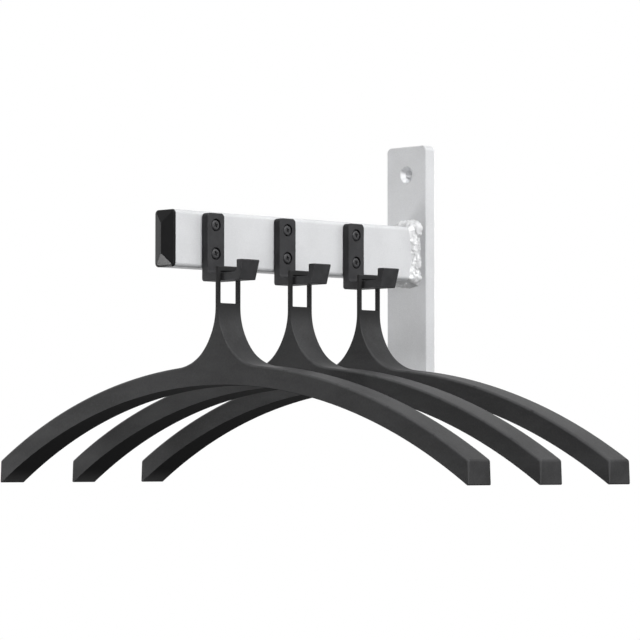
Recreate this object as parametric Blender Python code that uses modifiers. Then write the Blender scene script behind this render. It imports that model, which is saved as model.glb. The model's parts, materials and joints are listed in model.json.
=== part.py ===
"""Wall coat rack: a steel arm welded to a wall plate, with three J hooks and a moulded hanger on each.

Frame: the origin is the centre of the plate's back face, +Y goes into the wall, +Z is up, and +X is
to the right for someone who faces the wall. The arm stands out along -Y and the hooks along +X.
"""
import math

import bmesh
import bpy
from mathutils import Matrix, Vector

# Fit between pieces, in metres like every size below.
SEAT_GAP = 0.0003

# Wall plate: a flat bar with a countersunk screw hole near each end.
PLATE_WIDTH = 0.040
PLATE_LENGTH = 0.195
PLATE_THICKNESS = 0.010
PLATE_CORNER = 0.004
PLATE_EDGE = 0.001
WALL_HOLE_INSET = 0.021
WALL_HOLE_RADIUS = 0.00325
COUNTERSINK_RADIUS = 0.0063
DRILL_OVERRUN = 0.001

# Arm: a rectangular tube, its axis this far below the plate's top end.
ARM_DROP = 0.081
TUBE_LENGTH = 0.242
TUBE_HEIGHT = 0.040
TUBE_WIDTH = 0.020
TUBE_WALL = 0.002
TUBE_CORNER = 0.003
TUBE_BORE_CORNER = 0.001

# Hook stations, evenly spaced along the arm and named from the wall outwards.
STATIONS = ("rear", "middle", "front")
FIRST_STATION = 0.070
TUBE_OVERHANG = 0.032

# Weld run round the foot of the tube: long lumps and short ripples swell and thin its leg.
WELD_LEG = 0.0055
WELD_STEP = 0.0022
WELD_LUMPS = 9
WELD_LUMP_SWELL = 0.084
WELD_RIPPLES = 23
WELD_RIPPLE_SWELL = 0.056
WELD_RIPPLE_PHASE = 1.0

# End cap: a rim with a sloped shoulder and a hipped face, and a finned plug inside the tube.
CAP_RIM = 0.0004
CAP_SHOULDER_INSET = 0.0012
CAP_SHOULDER_RISE = 0.0011
CAP_FACE_CORNER = 0.0018
CAP_RISE = 0.0032
CAP_RIDGE_WIDTH = 0.0004
CAP_PLUG_LENGTH = 0.014
CAP_CORE_INSET = 0.002
CAP_FIN_THICKNESS = 0.0015
CAP_FIN_CORNER = 0.001
CAP_FINS = 3

# J hook: one section, cut to HOOK_WIDTH. Its height follows from the screws' places.
HOOK_WIDTH = 0.016
HOOK_TOP_TO_SCREW = 0.0085
HOOK_SCREW_TO_ARM = 0.014
HOOK_PLATE = 0.006
HOOK_ARM = 0.0055
HOOK_RECESS = 0.029
HOOK_TOP_CORNER = 0.003
HOOK_HEEL_RADIUS = 0.002
HOOK_INNER_RADIUS = 0.0025
HOOK_EDGE = 0.0004
LIP_HEIGHT = 0.014
LIP_FOOT = 0.0025
LIP_TIP = 0.0068
LIP_CORNER = 0.0006

# Hook screws: round heads with a cross recess, sunk into the hook, into the near wall of the tube.
SCREW_SPACING = 0.020
SCREW_SHANK_RADIUS = 0.002
SCREW_HEAD_RADIUS = 0.0037
SCREW_HEAD_HEIGHT = 0.0022
SCREW_TIP_LENGTH = 0.002
SCREW_TIP_RADIUS = 0.0008
SCREW_REACH = 0.004
COUNTERBORE_RADIUS = 0.0045
COUNTERBORE_DEPTH = 0.0024
RECESS_SPAN = 0.0036
RECESS_SLOT = 0.0012
RECESS_TIP = 0.0008
RECESS_DEPTH = 0.0013

# Hanger: a loop that rests on the hook's arm, a flared neck and two arched arms.
LOOP_THICKNESS = 0.003
LOOP_TOP = 0.0043
LOOP_BAR = 0.0026
LOOP_CLEARANCE = 0.0003
LOOP_STANDOFF = 0.0122
LOOP_WINDOW = 0.0215
HANGER_SPAN = 0.471
HANGER_DROP = 0.080
ARCH_RADIUS = 0.436
ARCH_HEIGHT = 0.0145
NECK_RADIUS = 0.042
HANGER_EDGE = 0.0009

# Facets: the turn in degrees that one facet of a round stretch may take, and counts.
FINE_TURN = 15
COARSE_TURN = 3
WELD_TURN = 30
ROUND_SIDES = 16
TOP_CORNER_FACETS = 5
HANGER_EDGE_FACETS = 2

# Mesh cleaning: distances in metres, angles in degrees.
WELD_DISTANCE = 1e-6
TURNED_WELD_DISTANCE = 1e-5
FLAT_ANGLE = 0.2
SMOOTH_ANGLE = 30
EASED_ANGLE = 40

# Finishes: base colour, roughness and metallic value.
SILVER_PAINT = ((0.62, 0.63, 0.64), 0.45, 0.2)
PAINTED_WELD = ((0.66, 0.67, 0.68), 0.35, 0.3)
BLACK_COATING = ((0.05, 0.05, 0.052), 0.5, 0.0)
BLACK_PLASTIC = ((0.045, 0.045, 0.047), 0.6, 0.0)

# Collections.
PARTS = "wall_coat_rack"
CUTTERS = "cutters"
SCREW_HOLES = "screw_holes"
COUNTERBORES = "counterbores"

# Sizes that follow from those above.
STATION_SPACING = (TUBE_LENGTH - FIRST_STATION - TUBE_OVERHANG) / (len(STATIONS) - 1)
ARM_Z = PLATE_LENGTH / 2 - ARM_DROP
TUBE_FOOT_Y = -PLATE_THICKNESS - SEAT_GAP
TUBE_END_Y = TUBE_FOOT_Y - TUBE_LENGTH
HOOK_HEIGHT = HOOK_TOP_TO_SCREW + SCREW_SPACING + HOOK_SCREW_TO_ARM + HOOK_ARM
HOOK_BOTTOM = -SCREW_SPACING / 2 - HOOK_SCREW_TO_ARM - HOOK_ARM
HOOK_FACE = SEAT_GAP + HOOK_PLATE
COUNTERBORE_FLOOR = HOOK_FACE - COUNTERBORE_DEPTH
SCREW_HOLE_RADIUS = SCREW_SHANK_RADIUS + SEAT_GAP
WINDOW_WIDTH = HOOK_WIDTH + 2 * LOOP_CLEARANCE
HANGER_WIDTH = WINDOW_WIDTH + 2 * LOOP_BAR
LOOP_HALF = LOOP_THICKNESS / 2
PIVOT_X = HOOK_FACE + LOOP_STANDOFF
PIVOT_Z = HOOK_BOTTOM + HOOK_ARM + SEAT_GAP + LOOP_HALF


def remove_startup_objects():
    """Empty the scene that Blender starts with."""
    for startup_object in list(bpy.data.objects):
        bpy.data.objects.remove(startup_object, do_unlink=True)


def new_collection(name):
    """Return a new collection that is linked to the scene."""
    collection = bpy.data.collections.new(name)
    bpy.context.scene.collection.children.link(collection)
    return collection


def new_material(name, colour, roughness, metallic):
    """Return a Principled BSDF material."""
    material = bpy.data.materials.new(name)
    material.use_nodes = True
    shader = material.node_tree.nodes["Principled BSDF"]
    shader.inputs["Base Color"].default_value = (*colour, 1.0)
    shader.inputs["Roughness"].default_value = roughness
    shader.inputs["Metallic"].default_value = metallic
    return material


def arc(centre, radius, start, end, turn=FINE_TURN):
    """Return points on an arc between two angles in degrees, both ends included."""
    steps = max(2, math.ceil(abs(end - start) / turn))
    points = []
    for step in range(steps + 1):
        angle = math.radians(start + (end - start) * step / steps)
        points.append(centre + radius * Vector((math.cos(angle), math.sin(angle))))
    return points


def rounded_outline(corners):
    """Return a closed outline from corners (x, z, radius), each rounded by an arc of its radius."""
    points = []
    for index, (x, z, radius) in enumerate(corners):
        corner = Vector((x, z))
        if radius == 0:
            points.append(corner)
            continue
        back = (Vector(corners[index - 1][:2]) - corner).normalized()
        ahead = (Vector(corners[(index + 1) % len(corners)][:2]) - corner).normalized()
        half = back.angle(ahead) / 2
        centre = corner + (back + ahead).normalized() * radius / math.sin(half)
        first = corner + back * radius / math.tan(half) - centre
        turn = math.degrees(math.pi - 2 * half)
        if back.cross(ahead) > 0:
            turn = -turn
        start = math.degrees(math.atan2(first.y, first.x))
        points += arc(centre, radius, start, start + turn)
    return points


def rectangle(width, height, radius=0.0):
    """Return a rectangle's outline about the origin, with rounded corners."""
    x, z = width / 2, height / 2
    return rounded_outline([(x, -z, radius), (x, z, radius), (-x, z, radius), (-x, -z, radius)])


def outline_curve(name, outlines):
    """Return a filled 2D curve with one closed straight-edged spline for each outline."""
    data = bpy.data.curves.new(name, "CURVE")
    data.dimensions = "2D"
    data.fill_mode = "BOTH"
    for outline in outlines:
        spline = data.splines.new("POLY")
        spline.points.add(len(outline) - 1)
        for point, (x, z) in zip(spline.points, outline):
            point.co = (x, z, 0.0, 1.0)
        spline.use_cyclic_u = True
    return bpy.data.objects.new(name, data)


def mesh_from_curve(curve):
    """Return a welded mesh of a curve object, turned so the curve's plane is XZ, and drop the curve."""
    scene_collection = bpy.context.scene.collection
    scene_collection.objects.link(curve)
    evaluated = curve.evaluated_get(bpy.context.evaluated_depsgraph_get())
    mesh = bpy.data.meshes.new_from_object(evaluated)
    mesh.transform(Matrix.Rotation(math.radians(90), 4, "X"))
    name = curve.name
    data = curve.data
    bpy.data.objects.remove(curve, do_unlink=True)
    bpy.data.curves.remove(data)
    mesh.name = name
    welded = bmesh.new()
    welded.from_mesh(mesh)
    bmesh.ops.remove_doubles(welded, verts=welded.verts, dist=WELD_DISTANCE)
    bmesh.ops.dissolve_limit(welded, angle_limit=math.radians(FLAT_ANGLE), verts=welded.verts,
                             edges=welded.edges)
    welded.to_mesh(mesh)
    welded.free()
    return mesh


def outline_mesh(name, outlines, depth):
    """Return a mesh with the outlines in the XZ plane, thickened by depth along Y about Y = 0."""
    curve = outline_curve(name, outlines)
    curve.data.extrude = depth / 2
    return mesh_from_curve(curve)


def box_mesh(name, size, centre=(0.0, 0.0, 0.0)):
    """Return a box mesh with its size along X, Y and Z."""
    mesh = bpy.data.meshes.new(name)
    box = bmesh.new()
    placed = Matrix.Translation(centre) @ Matrix.Diagonal((*size, 1.0))
    bmesh.ops.create_cube(box, size=1.0, matrix=placed)
    box.to_mesh(mesh)
    box.free()
    return mesh


def cone_mesh(name, near_radius, far_radius, length, axis):
    """Return a round solid along axis, from near_radius at the origin to far_radius at length."""
    mesh = bpy.data.meshes.new(name)
    solid = bmesh.new()
    turn = Vector((0.0, 0.0, 1.0)).rotation_difference(Vector(axis)).to_matrix().to_4x4()
    placed = turn @ Matrix.Translation((0.0, 0.0, length / 2))
    bmesh.ops.create_cone(solid, cap_ends=True, segments=ROUND_SIDES, radius1=near_radius,
                          radius2=far_radius, depth=length, matrix=placed)
    solid.to_mesh(mesh)
    solid.free()
    return mesh


def add_piece(name, data, material, location=(0.0, 0.0, 0.0), parent=None):
    """Add a piece of the rack to the parts collection."""
    piece = bpy.data.objects.new(name, data)
    piece.location = location
    piece.parent = parent
    if not data.materials:
        data.materials.append(material)
    bpy.data.collections[PARTS].objects.link(piece)
    if piece.type == "MESH":
        data.shade_smooth()
        data.set_sharp_from_angle(angle=math.radians(SMOOTH_ANGLE))
    return piece


def add_guide(name, data, location=(0.0, 0.0, 0.0), parent=None, group=None):
    """Add a cutter, or a curve that guides a shape, which is no piece of the rack itself."""
    guide = bpy.data.objects.new(name, data)
    guide.location = location
    guide.parent = parent
    guide.hide_render = True
    guide.display_type = "WIRE"
    bpy.data.collections[group or CUTTERS].objects.link(guide)
    return guide


def boolean(piece, cutter, operation="DIFFERENCE"):
    """Cut a piece by an object, or join the object to it."""
    modifier = piece.modifiers.new(cutter.name, "BOOLEAN")
    modifier.operation = operation
    modifier.object = cutter


def cut_by_group(piece, group):
    """Cut a piece by every cutter of a collection."""
    modifier = piece.modifiers.new(group, "BOOLEAN")
    modifier.operand_type = "COLLECTION"
    modifier.collection = bpy.data.collections[group]


def ease_edges(piece, width, segments=1):
    """Round a piece's sharp edges."""
    modifier = piece.modifiers.new("eased_edges", "BEVEL")
    modifier.width = width
    modifier.segments = segments
    modifier.limit_method = "ANGLE"
    modifier.angle_limit = math.radians(EASED_ANGLE)


def make_wall_plate(steel):
    """Flat bar with rounded corners and two countersunk holes, open to the front."""
    outline = rectangle(PLATE_WIDTH, PLATE_LENGTH, PLATE_CORNER)
    mesh = outline_mesh("wall_plate", [outline], PLATE_THICKNESS)
    plate = add_piece("wall_plate", mesh, steel, (0.0, -PLATE_THICKNESS / 2, 0.0))
    ease_edges(plate, PLATE_EDGE)
    sink_depth = COUNTERSINK_RADIUS - WALL_HOLE_RADIUS
    drill = cone_mesh("wall_hole", WALL_HOLE_RADIUS, WALL_HOLE_RADIUS,
                      PLATE_THICKNESS + 2 * DRILL_OVERRUN, (0.0, 1.0, 0.0))
    sink = cone_mesh("wall_hole_sink", COUNTERSINK_RADIUS + DRILL_OVERRUN, WALL_HOLE_RADIUS,
                     sink_depth + DRILL_OVERRUN, (0.0, 1.0, 0.0))
    for place, side in (("upper", 1), ("lower", -1)):
        mouth = (0.0, -PLATE_THICKNESS - DRILL_OVERRUN, side * (PLATE_LENGTH / 2 - WALL_HOLE_INSET))
        boolean(plate, add_guide(place + "_wall_hole", drill, mouth))
        boolean(plate, add_guide(place + "_wall_hole_sink", sink, mouth))


def make_arm_tube(steel):
    """Rectangular tube that stands square out of the plate, drilled for the hook screws."""
    outer = rectangle(TUBE_WIDTH, TUBE_HEIGHT, TUBE_CORNER)
    inner = rectangle(TUBE_WIDTH - 2 * TUBE_WALL, TUBE_HEIGHT - 2 * TUBE_WALL, TUBE_BORE_CORNER)
    mesh = outline_mesh("arm_tube", [outer, inner], TUBE_LENGTH)
    tube = add_piece("arm_tube", mesh, steel, (0.0, TUBE_FOOT_Y - TUBE_LENGTH / 2, ARM_Z))
    cut_by_group(tube, SCREW_HOLES)


def evenly_spaced(outline, step):
    """Return points at about one step from each other along a closed outline."""
    points = []
    for start, end in zip(outline, outline[1:] + outline[:1]):
        count = max(1, round((end - start).length / step))
        points += [start.lerp(end, index / count) for index in range(count)]
    return points


def make_weld_bead(weld_metal):
    """Uneven fillet weld in the corner between the tube and the plate."""
    root = Vector((0.0, 0.0))
    quadrant = [root] + arc(root, WELD_LEG, 180, 90, WELD_TURN)
    section = add_guide("weld_section", outline_curve("weld_section", [quadrant]).data)
    section.data.fill_mode = "NONE"
    path = rectangle(TUBE_WIDTH + 2 * SEAT_GAP, TUBE_HEIGHT + 2 * SEAT_GAP, TUBE_CORNER + SEAT_GAP)
    path = evenly_spaced(path, WELD_STEP)
    curve = outline_curve("weld_bead", [path])
    curve.data.bevel_mode = "OBJECT"
    curve.data.bevel_object = section
    for index, point in enumerate(curve.data.splines[0].points):
        angle = math.tau * index / len(path)
        lump = WELD_LUMP_SWELL * math.sin(WELD_LUMPS * angle)
        ripple = WELD_RIPPLE_SWELL * math.sin(WELD_RIPPLES * angle + WELD_RIPPLE_PHASE)
        point.radius = 1.0 + lump + ripple
    mesh = mesh_from_curve(curve)
    add_piece("weld_bead", mesh, weld_metal, (0.0, TUBE_FOOT_Y, ARM_Z))


def make_end_cap(plastic):
    """Hipped cap on the tube's free end, with a finned plug inside the tube."""
    rim_back = -SEAT_GAP
    rim_front = rim_back - CAP_RIM
    face_foot = rim_front - CAP_SHOULDER_RISE
    ridge_half = (TUBE_HEIGHT - TUBE_WIDTH) / 2
    rim = rectangle(TUBE_WIDTH, TUBE_HEIGHT, TUBE_CORNER)
    face = rectangle(TUBE_WIDTH - 2 * CAP_SHOULDER_INSET, TUBE_HEIGHT - 2 * CAP_SHOULDER_INSET,
                     CAP_FACE_CORNER)
    mesh = bpy.data.meshes.new("end_cap")
    head = bmesh.new()
    for y, outline in ((rim_back, rim), (rim_front, rim), (face_foot, face)):
        for x, z in outline:
            head.verts.new((x, y, z))
    for x in (-CAP_RIDGE_WIDTH / 2, CAP_RIDGE_WIDTH / 2):
        for z in (-ridge_half, ridge_half):
            head.verts.new((x, face_foot - CAP_RISE, z))
    bmesh.ops.convex_hull(head, input=head.verts)
    head.to_mesh(mesh)
    head.free()
    cap = add_piece("end_cap", mesh, plastic, (0.0, TUBE_END_Y, ARM_Z))
    bore_width = TUBE_WIDTH - 2 * (TUBE_WALL + SEAT_GAP)
    bore_height = TUBE_HEIGHT - 2 * (TUBE_WALL + SEAT_GAP)
    overlap = CAP_RIM / 2
    core_size = (bore_width - 2 * CAP_CORE_INSET, CAP_PLUG_LENGTH + SEAT_GAP + overlap,
                 bore_height - 2 * CAP_CORE_INSET)
    core = box_mesh("cap_core", core_size, (0.0, (CAP_PLUG_LENGTH - SEAT_GAP - overlap) / 2, 0.0))
    boolean(cap, add_guide("cap_core", core, cap.location), "UNION")
    fin_outline = rectangle(bore_width, bore_height, CAP_FIN_CORNER)
    fin = outline_mesh("cap_fin", [fin_outline], CAP_FIN_THICKNESS)
    for index in range(CAP_FINS):
        fin_y = CAP_PLUG_LENGTH * (index + 0.5) / CAP_FINS
        place = cap.location + Vector((0.0, fin_y, 0.0))
        boolean(cap, add_guide("cap_fin_%d" % (index + 1), fin, place), "UNION")


def hook_mesh():
    """J section with a tapered lip, cut to width, with the two top corners rounded."""
    lip = HOOK_PLATE + HOOK_RECESS
    outline = rounded_outline([
        (0.0, 0.0, HOOK_HEEL_RADIUS),
        (lip + LIP_FOOT, 0.0, LIP_CORNER),
        (lip + LIP_TIP, LIP_HEIGHT, LIP_CORNER),
        (lip, LIP_HEIGHT, LIP_CORNER),
        (lip, HOOK_ARM, HOOK_INNER_RADIUS),
        (HOOK_PLATE, HOOK_ARM, HOOK_INNER_RADIUS),
        (HOOK_PLATE, HOOK_HEIGHT, 0.0),
        (0.0, HOOK_HEIGHT, 0.0),
    ])
    mesh = outline_mesh("hook", [outline], HOOK_WIDTH)
    solid = bmesh.new()
    solid.from_mesh(mesh)
    near = HOOK_EDGE / 4
    top_corners = []
    for edge in solid.edges:
        at_top = all(abs(vert.co.z - HOOK_HEIGHT) < near for vert in edge.verts)
        along_x = abs(edge.verts[0].co.y - edge.verts[1].co.y) < near
        if at_top and along_x:
            top_corners.append(edge)
    bmesh.ops.bevel(solid, geom=top_corners, offset=HOOK_TOP_CORNER, segments=TOP_CORNER_FACETS,
                    profile=0.5, affect="EDGES")
    solid.to_mesh(mesh)
    solid.free()
    return mesh


def screw_mesh():
    """Turned half section of a screw along +Z, its head above Z = 0 and its shank below."""
    reach = SEAT_GAP + COUNTERBORE_FLOOR + TUBE_WALL + SCREW_REACH
    crown_radius = (SCREW_HEAD_RADIUS ** 2 + SCREW_HEAD_HEIGHT ** 2) / (2 * SCREW_HEAD_HEIGHT)
    rim = math.degrees(math.asin(SCREW_HEAD_RADIUS / crown_radius))
    centre = Vector((0.0, SCREW_HEAD_HEIGHT - crown_radius))
    profile = arc(centre, crown_radius, 90, 90 - rim)
    profile += [Vector((SCREW_SHANK_RADIUS, 0.0))]
    profile += [Vector((SCREW_SHANK_RADIUS, SCREW_TIP_LENGTH - reach))]
    profile += [Vector((SCREW_TIP_RADIUS, -reach)), Vector((0.0, -reach))]
    mesh = bpy.data.meshes.new("hook_screw")
    section = bmesh.new()
    verts = [section.verts.new((radius, 0.0, z)) for radius, z in profile]
    for upper, lower in zip(verts, verts[1:]):
        section.edges.new((upper, lower))
    section.to_mesh(mesh)
    section.free()
    return mesh


def turn_profile(piece):
    """Turn a piece's half section about its Z axis."""
    modifier = piece.modifiers.new("turned", "SCREW")
    modifier.steps = ROUND_SIDES
    modifier.render_steps = ROUND_SIDES
    modifier.use_merge_vertices = True
    modifier.merge_threshold = TURNED_WELD_DISTANCE


def recess_mesh():
    """Cross-shaped driver, lying along +Z with its tip at Z = 0."""
    wing = [Vector((RECESS_SLOT, -RECESS_SLOT)), Vector((RECESS_SPAN, -RECESS_TIP)),
            Vector((RECESS_SPAN, RECESS_TIP))]
    cross = []
    for quarter in range(4):
        turn = Matrix.Rotation(math.radians(90 * quarter), 2)
        cross += [turn @ point / 2 for point in wing]
    length = SCREW_HEAD_HEIGHT
    mesh = outline_mesh("cross_recess", [cross], length)
    mesh.transform(Matrix.Translation((0.0, 0.0, length / 2)) @ Matrix.Rotation(math.radians(90), 4, "X"))
    return mesh


def hanger_outline():
    """Front view of a hanger about its pivot: strip, flared neck, arched arms and square ends."""
    outer_radius = ARCH_RADIUS + ARCH_HEIGHT
    half_span = HANGER_SPAN / 2
    arch_centre = Vector((0.0, -HANGER_DROP - ARCH_RADIUS))
    reach = outer_radius + NECK_RADIUS
    neck_x = LOOP_HALF + NECK_RADIUS
    neck_centre = arch_centre + Vector((neck_x, math.sqrt(reach ** 2 - neck_x ** 2)))
    flare_end = math.degrees(math.acos(neck_x / reach))
    outer_end = math.degrees(math.acos(half_span / outer_radius))
    inner_end = math.degrees(math.acos(half_span / ARCH_RADIUS))
    side = [Vector((LOOP_HALF, LOOP_TOP - LOOP_HALF))]
    side += arc(neck_centre, NECK_RADIUS, 180, 180 + flare_end)
    side += arc(arch_centre, outer_radius, flare_end, outer_end, COARSE_TURN)[1:]
    underside = arc(arch_centre, ARCH_RADIUS, inner_end, 180 - inner_end, COARSE_TURN)
    mirrored = [Vector((-x, z)) for x, z in reversed(side)]
    return side + underside + mirrored


def window_outline():
    """Opening of the loop about the pivot: its top leaves a round underside on the loop's bar."""
    beside = 4 * LOOP_THICKNESS
    floor = -LOOP_HALF - LOOP_WINDOW
    outline = [Vector((-beside, 0.0)), Vector((-beside, floor)), Vector((beside, floor))]
    outline.append(Vector((beside, 0.0)))
    return outline + arc(Vector((0.0, 0.0)), LOOP_HALF, 0, -180)


def make_station(name, y, shapes, coating, plastic):
    """One hook with its two screws, and the hanger on it."""
    station = bpy.data.objects.new(name + "_station", None)
    station.location = (TUBE_WIDTH / 2, y, ARM_Z)
    bpy.data.collections[PARTS].objects.link(station)
    hook = add_piece("hook_" + name, shapes["hook"], coating, (SEAT_GAP, 0.0, HOOK_BOTTOM), station)
    ease_edges(hook, HOOK_EDGE)
    cut_by_group(hook, SCREW_HOLES)
    cut_by_group(hook, COUNTERBORES)
    for place, side in (("upper", 1), ("lower", -1)):
        screw_name = "hook_%s_screw_%s" % (name, place)
        seat = Vector((COUNTERBORE_FLOOR + SEAT_GAP, 0.0, side * SCREW_SPACING / 2))
        add_guide(screw_name + "_hole", shapes["screw_hole"], (-2 * TUBE_WALL, 0.0, seat.z), station,
                  SCREW_HOLES)
        add_guide(screw_name + "_counterbore", shapes["counterbore"], (COUNTERBORE_FLOOR, 0.0, seat.z),
                  station, COUNTERBORES)
        screw = add_piece(screw_name, shapes["screw"], coating, seat, station)
        driver = add_guide(screw_name + "_recess", shapes["recess"], seat, station)
        driver.location.x += SCREW_HEAD_HEIGHT - RECESS_DEPTH
        for turned in (screw, driver):
            turned.rotation_euler.y = math.radians(90)
        turn_profile(screw)
        boolean(screw, driver)
    pivot = (PIVOT_X, 0.0, PIVOT_Z)
    hanger = add_piece("hanger_" + name, shapes["hanger"], plastic, pivot, station)
    ease_edges(hanger, HANGER_EDGE, HANGER_EDGE_FACETS)
    boolean(hanger, add_guide("hanger_%s_window" % name, shapes["window"], pivot, station))


def main():
    """Build the rack."""
    remove_startup_objects()
    for name in (PARTS, CUTTERS, SCREW_HOLES, COUNTERBORES):
        new_collection(name)
    steel = new_material("silver_paint", *SILVER_PAINT)
    weld_metal = new_material("painted_weld", *PAINTED_WELD)
    coating = new_material("black_coating", *BLACK_COATING)
    plastic = new_material("black_plastic", *BLACK_PLASTIC)
    make_wall_plate(steel)
    make_arm_tube(steel)
    make_weld_bead(weld_metal)
    make_end_cap(plastic)
    shapes = {
        "hook": hook_mesh(),
        "screw": screw_mesh(),
        "recess": recess_mesh(),
        "screw_hole": cone_mesh("screw_hole", SCREW_HOLE_RADIUS, SCREW_HOLE_RADIUS,
                                4 * TUBE_WALL + HOOK_FACE, (1.0, 0.0, 0.0)),
        "counterbore": cone_mesh("counterbore", COUNTERBORE_RADIUS, COUNTERBORE_RADIUS,
                                 COUNTERBORE_DEPTH + DRILL_OVERRUN, (1.0, 0.0, 0.0)),
        "hanger": outline_mesh("hanger", [hanger_outline()], HANGER_WIDTH),
        "window": outline_mesh("hanger_window", [window_outline()], WINDOW_WIDTH),
    }
    for index, name in enumerate(STATIONS):
        y = -PLATE_THICKNESS - FIRST_STATION - index * STATION_SPACING
        make_station(name, y, shapes, coating, plastic)


main()
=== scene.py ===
"""Wall coat rack, dressed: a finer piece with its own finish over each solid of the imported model.

The file is laid out as a Blender add-on and runs as a script. Lengths are in metres, in the frame of
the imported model: +Y goes into the wall, +Z is up, and the hooks stand out along +X.
"""
import json
import math

import bmesh
import bpy
from bpy.props import FloatProperty, FloatVectorProperty, PointerProperty
from mathutils import Matrix, Vector, noise


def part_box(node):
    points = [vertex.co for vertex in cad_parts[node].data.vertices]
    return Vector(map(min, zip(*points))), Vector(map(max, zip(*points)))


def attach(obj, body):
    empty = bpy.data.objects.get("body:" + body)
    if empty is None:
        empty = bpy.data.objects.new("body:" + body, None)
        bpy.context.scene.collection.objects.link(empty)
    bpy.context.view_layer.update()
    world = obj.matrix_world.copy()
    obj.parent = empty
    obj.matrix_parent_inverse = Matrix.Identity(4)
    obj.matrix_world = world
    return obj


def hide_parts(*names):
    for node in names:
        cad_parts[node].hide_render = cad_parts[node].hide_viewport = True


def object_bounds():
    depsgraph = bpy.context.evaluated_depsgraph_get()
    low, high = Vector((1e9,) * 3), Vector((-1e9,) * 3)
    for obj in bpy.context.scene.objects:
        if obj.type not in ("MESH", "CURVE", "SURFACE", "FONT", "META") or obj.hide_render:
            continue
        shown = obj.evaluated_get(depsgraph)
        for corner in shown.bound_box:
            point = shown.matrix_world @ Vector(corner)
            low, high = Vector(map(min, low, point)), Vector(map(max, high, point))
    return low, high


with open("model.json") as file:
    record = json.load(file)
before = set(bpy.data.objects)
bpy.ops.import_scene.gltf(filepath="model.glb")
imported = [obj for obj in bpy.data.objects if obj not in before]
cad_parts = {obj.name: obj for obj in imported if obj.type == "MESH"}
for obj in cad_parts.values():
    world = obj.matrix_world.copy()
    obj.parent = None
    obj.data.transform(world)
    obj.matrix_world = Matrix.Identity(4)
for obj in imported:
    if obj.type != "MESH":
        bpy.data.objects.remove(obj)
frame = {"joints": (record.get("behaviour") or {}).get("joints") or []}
CAD_LOW, CAD_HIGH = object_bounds()

bl_info = {
    "name": "Wall Coat Rack",
    "version": (1, 0, 0),
    "blender": (4, 5, 0),
    "location": "View3D > Sidebar > Coat Rack",
    "description": "Dresses the packed coat rack with finer pieces, finishes and a plain stage",
    "category": "Add Mesh",
}

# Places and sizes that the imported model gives.
PLATE_LOW, PLATE_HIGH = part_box("wall_plate")
TUBE_LOW, TUBE_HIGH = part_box("arm_tube")
CAP_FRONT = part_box("end_cap")[0].y
HANGER_LOW, HANGER_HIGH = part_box("hanger_front")
PLATE_SIZE = PLATE_HIGH - PLATE_LOW
TUBE_SIZE = TUBE_HIGH - TUBE_LOW
HANGER_SIZE = HANGER_HIGH - HANGER_LOW
ARM_Z = (TUBE_LOW.z + TUBE_HIGH.z) / 2
FIT_GAP = PLATE_LOW.y - TUBE_HIGH.y
STATIONS = ("rear", "middle", "front")
SCREWS = ("upper", "lower")
SCREW_NODE = "hook_%s_screw_%s"
PIVOTS = {joint["child"]: Vector(joint["pos_m"]) for joint in frame["joints"]}

# How finely round stretches are divided: turns in degrees, counts, and a step along the weld.
FINE_TURN = 9
FLARE_TURN = 3
ARCH_TURN = 1
ROUND_SIDES = 48
EDGE_STEPS = 4
HOOK_CORNER_STEPS = 10
HOOK_EDGE_STEPS = 3
HEAD_STEPS = 8
HIP_STEPS = 22
SHOULDER_STEPS = 6
WINDOW_STEPS = 16
WELD_STEPS = 22
WELD_STEP = 0.0004

# Angle from which an edge counts as sharp, in degrees, and distance within which two places are one.
SHARP_ANGLE = 35
NEAR = 1e-6

# Sizes of the weld's coarse and fine lumps and blobs, each with the share that the fine ones have.
WELD_LUMPS = (0.0066, 0.0030, 0.6)
WELD_BLOBS = (0.0016, 0.0009, 0.5)

# Size of the square picture that the lens is given for, in pixels, and of the camera's sensor.
PICTURE_SIDE = 640
SENSOR_WIDTH = 36.0

# Lamps: place from the middle of the rack, side of the square lamp, and level of its light.
LAMPS = {
    "side_lamp": ((1.25, -0.12, 0.77), 0.85, 0.98),
    "far_lamp": ((0.9, 0.9, 0.6), 0.7, 0.18),
    "left_lamp": ((-0.75, -0.62, 0.05), 0.6, 0.36),
    "low_lamp": ((-0.65, -0.67, -0.39), 0.2, 0.25),
    "fill_lamp": ((0.22, -0.82, -0.02), 0.6, 0.12),
    "top_lamp": ((0.0, 0.2, 1.3), 1.0, 0.2),
    "back_lamp": ((-0.2, 1.4, 0.05), 1.0, 0.4),
}


def length(name, description, default):
    """Return a property for a length."""
    return FloatProperty(name=name, description=description, default=default, min=0.0, precision=5,
                         unit="LENGTH")


def share(name, description, default, most=1.0):
    """Return a property for a plain number, such as a share or a level of light."""
    return FloatProperty(name=name, description=description, default=default, min=0.0, max=most,
                         precision=3)


def colour(name, description, default):
    """Return a property for a linear colour."""
    return FloatVectorProperty(name=name, description=description, default=default, size=3, min=0.0,
                               max=1.0, subtype="COLOR")


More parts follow.
